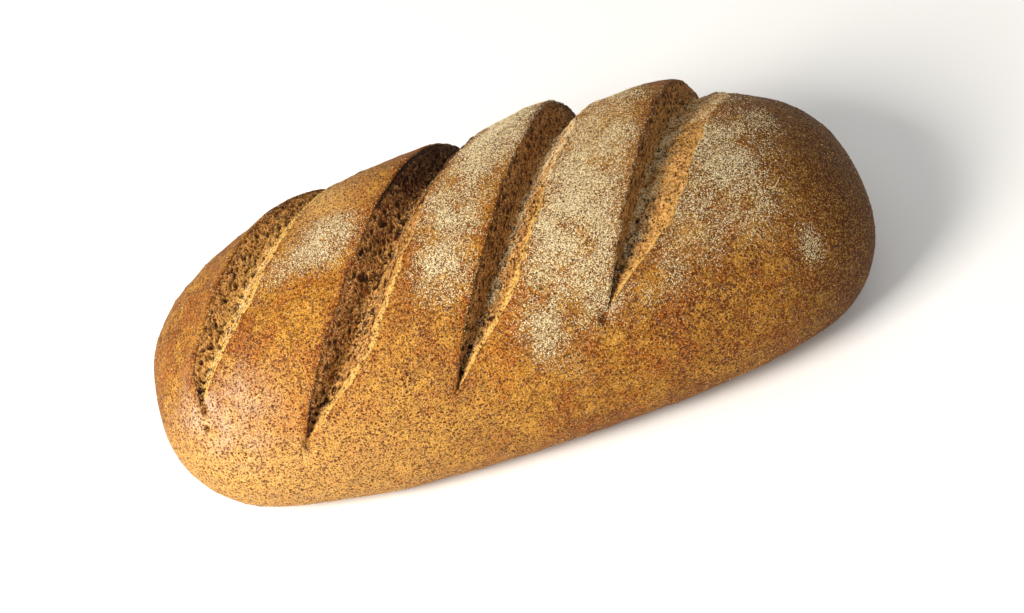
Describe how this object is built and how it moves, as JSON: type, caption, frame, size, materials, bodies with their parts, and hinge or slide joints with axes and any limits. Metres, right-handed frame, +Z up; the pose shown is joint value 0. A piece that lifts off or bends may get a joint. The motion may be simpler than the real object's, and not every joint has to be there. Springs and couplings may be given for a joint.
{
  "type": "bread loaf",
  "caption": "Long whole-grain bread loaf, baked without a tin, with a domed slashed crust dusted with flour and a flat base to rest on.",
  "frame": {"origin": "middle of the loaf's bounding box on the surface it stands on, in the plane of its flat base", "axes": "+X along the loaf towards the end that the slashes lean to at the back, +Y across it to the back, +Z up"},
  "size_m": [0.3, 0.137, 0.0993],
  "materials": {
    "crust": "baked golden brown crust, matt to dull satin, with dark bran flecks and patches of pale flour and semolina"
  },
  "bodies": {
    "root": {"loaf": "crust"}
  },
  "joints": []
}
